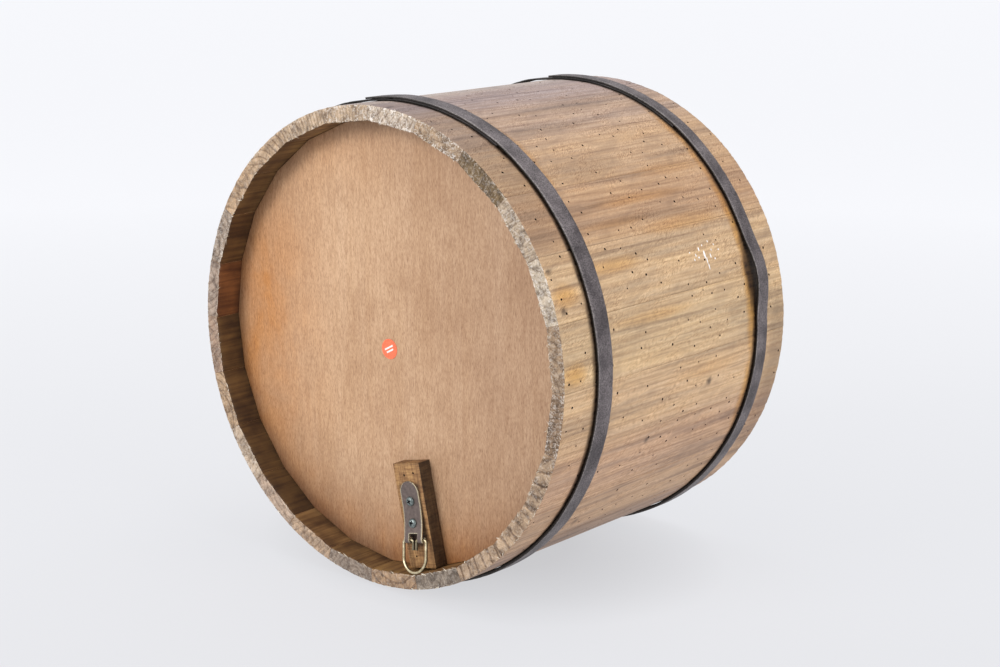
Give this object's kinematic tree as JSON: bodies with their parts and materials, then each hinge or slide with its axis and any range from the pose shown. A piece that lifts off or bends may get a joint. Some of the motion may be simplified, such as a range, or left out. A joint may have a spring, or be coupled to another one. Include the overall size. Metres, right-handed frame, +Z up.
{
  "type": "hooped stave tub",
  "caption": "Small coopered wooden tub on its side: tapered staves, two steel hoops, a set-back plywood end with a strap hanger and swinging ring, and an open mouth.",
  "frame": {"origin": "on the floor under the middle of the bounding box, the tub lying on its two hoops", "axes": "+Z up; +Y along the tub's axis from the hanger end to the open mouth (the axis itself rises 1.1 degrees towards +Y with the taper); +X to the right seen from the hanger end"},
  "size_m": [0.3444, 0.2606, 0.3444],
  "materials": {
    "stave_wood": "weathered, oiled, pierced with small holes",
    "plywood": "stained, satin",
    "block_wood": "stained, sawn",
    "hoop_steel": "dark mill scale, worn at the edges",
    "dark_steel": "dull",
    "bronzed_steel": "antique bronze plating, bright at the edges",
    "ring_brass": "antique brass plating",
    "screw_steel": "zinc plated",
    "label": "printed paper"
  },
  "bodies": {
    "tub": {"stave_01": "stave_wood", "stave_02": "stave_wood", "stave_03": "stave_wood", "stave_04": "stave_wood", "stave_05": "stave_wood", "stave_06": "stave_wood", "stave_07": "stave_wood", "stave_08": "stave_wood", "stave_09": "stave_wood", "stave_10": "stave_wood", "stave_11": "stave_wood", "stave_12": "stave_wood", "stave_13": "stave_wood", "stave_14": "stave_wood", "stave_15": "stave_wood", "stave_16": "stave_wood", "stave_17": "stave_wood", "stave_18": "stave_wood", "stave_19": "stave_wood", "stave_20": "stave_wood", "stave_21": "stave_wood", "stave_22": "stave_wood", "stave_23": "stave_wood", "stave_24": "stave_wood", "back_hoop": "hoop_steel", "front_hoop": "hoop_steel", "hoop_tack_1": "dark_steel", "hoop_tack_2": "dark_steel", "hoop_tack_3": "dark_steel", "hoop_tack_4": "dark_steel", "end_panel": "plywood", "label": "label", "hanger_block": "block_wood", "block_brad_1": "dark_steel", "block_brad_2": "dark_steel", "block_brad_3": "dark_steel", "hanger_plate": "bronzed_steel", "hanger_screw_1": "screw_steel", "hanger_screw_2": "screw_steel"},
    "ring": {"d_ring": "ring_brass"}
  },
  "joints": [
    {"name": "ring_hinge", "type": "hinge", "parent": "tub", "child": "ring", "pos_m": [0.03366, -0.11832, 0.03995], "axis": [-0.9772, 0.0042, -0.2121], "range_deg": [0, 135]}
  ]
}
